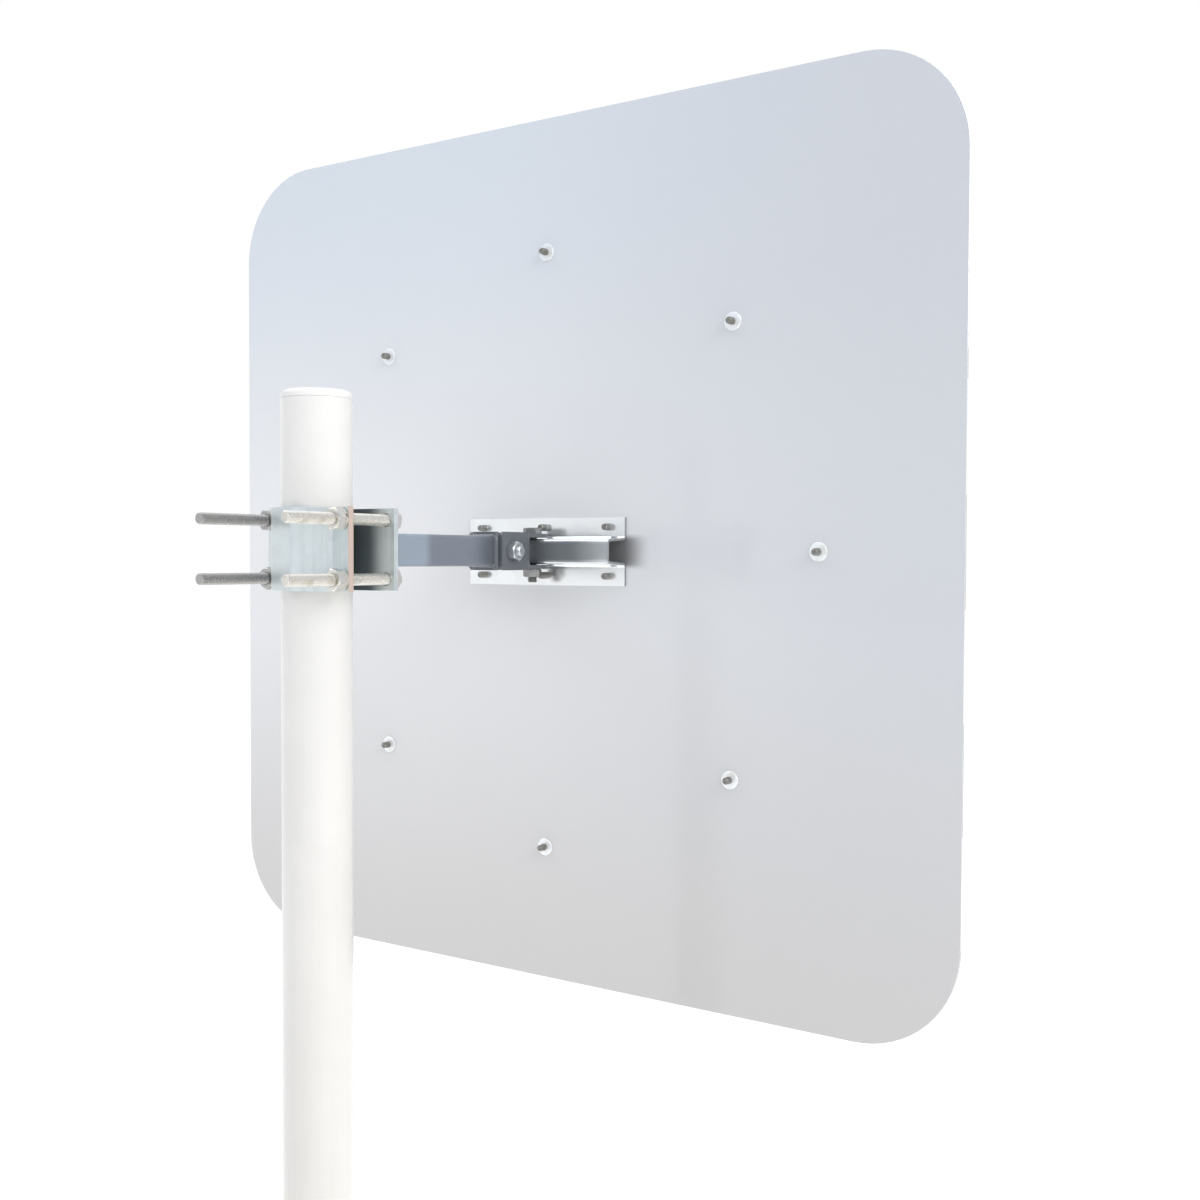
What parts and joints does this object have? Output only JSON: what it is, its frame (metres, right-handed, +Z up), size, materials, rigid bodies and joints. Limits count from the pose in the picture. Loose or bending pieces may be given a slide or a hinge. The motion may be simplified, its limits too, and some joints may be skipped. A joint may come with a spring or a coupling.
{
  "type": "convex traffic mirror",
  "caption": "Convex mirror on a rounded square panel, held by a two-axis knuckle and an arm clamped to a round post with a bolt-down base plate.",
  "frame": {"origin": "middle of the base plate's underside, on the post's axis", "axes": "+Z up the post, +X from the post to the mirror, the way that the mirror faces"},
  "size_m": [0.568, 0.9, 2],
  "materials": {
    "post_paint": "gloss white paint",
    "cap_plastic": "glossy white",
    "base_zinc": "hot-dip galvanised",
    "weld_zinc": "galvanised weld bead",
    "jaw_zinc": "bright zinc plate",
    "bolt_zinc": "zinc plated fastener",
    "arm_paint": "satin blue-grey paint",
    "fork_paint": "satin dark grey paint",
    "rail_zinc": "bright zinc sheet",
    "rivet_steel": "plain steel",
    "panel_aluminium": "gloss light-grey coating on aluminium sheet",
    "seal_rubber": "matt black",
    "mirror_face": "mirrored acrylic",
    "ring_plastic": "satin dark grey",
    "film_black": "gloss film"
  },
  "bodies": {
    "post": {"post_tube": "post_paint", "post_cap": "cap_plastic", "base_plate": "base_zinc", "base_weld": "weld_zinc"},
    "arm": {"inner_jaw": "jaw_zinc", "outer_jaw": "jaw_zinc", "clamp_bolts": "bolt_zinc", "clamp_washers": "bolt_zinc", "clamp_nuts": "bolt_zinc", "arm_tube": "arm_paint", "arm_clamp_weld": "arm_paint", "arm_yoke_weld": "arm_paint", "arm_yoke": "fork_paint", "tilt_sleeve": "bolt_zinc"},
    "knuckle": {"tilt_fork": "fork_paint", "pan_fork": "fork_paint", "tilt_bolt": "bolt_zinc", "tilt_nut": "bolt_zinc", "pan_bolt": "bolt_zinc", "pan_nut": "bolt_zinc"},
    "mirror_head": {"mount_rail": "rail_zinc", "pan_sleeve": "bolt_zinc", "rail_rivets": "rivet_steel", "back_panel": "panel_aluminium", "rivet_washers": "bolt_zinc", "mirror_rivets": "rivet_steel", "seal_ring": "seal_rubber", "mirror_dome": "mirror_face", "retaining_ring": "ring_plastic", "border_film": "film_black"}
  },
  "joints": [
    {"name": "clamp_swivel", "type": "hinge", "parent": "post", "child": "arm", "pos_m": [0, 0, 1.55], "axis": [0, 0, 1], "continuous": true},
    {"name": "mirror_tilt", "type": "hinge", "parent": "arm", "child": "knuckle", "pos_m": [0.245, 0, 1.55], "axis": [0, 1, 0], "range_deg": [-35, 35]},
    {"name": "mirror_pan", "type": "hinge", "parent": "knuckle", "child": "mirror_head", "pos_m": [0.307, 0, 1.55], "axis": [0, 0, 1], "range_deg": [-35, 35]}
  ]
}
